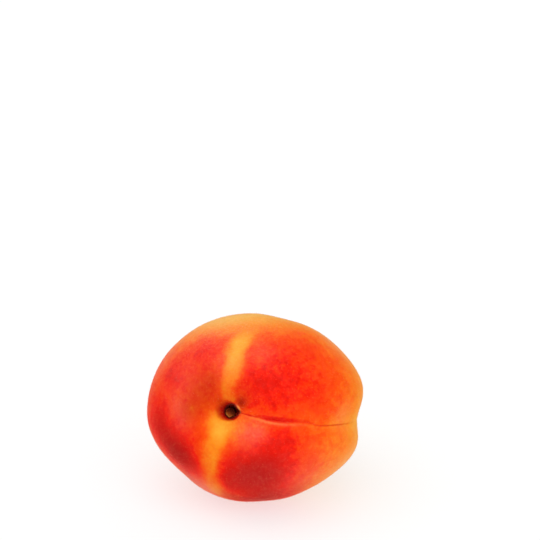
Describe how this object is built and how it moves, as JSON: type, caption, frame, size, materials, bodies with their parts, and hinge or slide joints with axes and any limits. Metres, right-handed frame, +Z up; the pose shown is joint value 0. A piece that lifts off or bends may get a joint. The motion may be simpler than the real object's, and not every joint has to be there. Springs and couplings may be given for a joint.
{
  "type": "apricot",
  "caption": "Ripe apricot lying on its cheek, with a suture groove along its side and the broken end of its stalk down in the stem hollow.",
  "frame": {"origin": "middle of the fruit's box in plan, at the height of the floor that it rests on", "axes": "+Z is up; +X points to the fuller side, over which the suture runs; -Y is the side that the stem hollow faces, with the stem's line rising 22 degrees from the floor"},
  "size_m": [0.052, 0.0468, 0.0449],
  "materials": {
    "fruit_skin": "velvety, short pale down over a yellow to crimson skin",
    "stalk_bark": "dry, dull olive brown"
  },
  "bodies": {
    "root": {"fruit": "fruit_skin", "stalk_stub": "stalk_bark"}
  },
  "joints": []
}
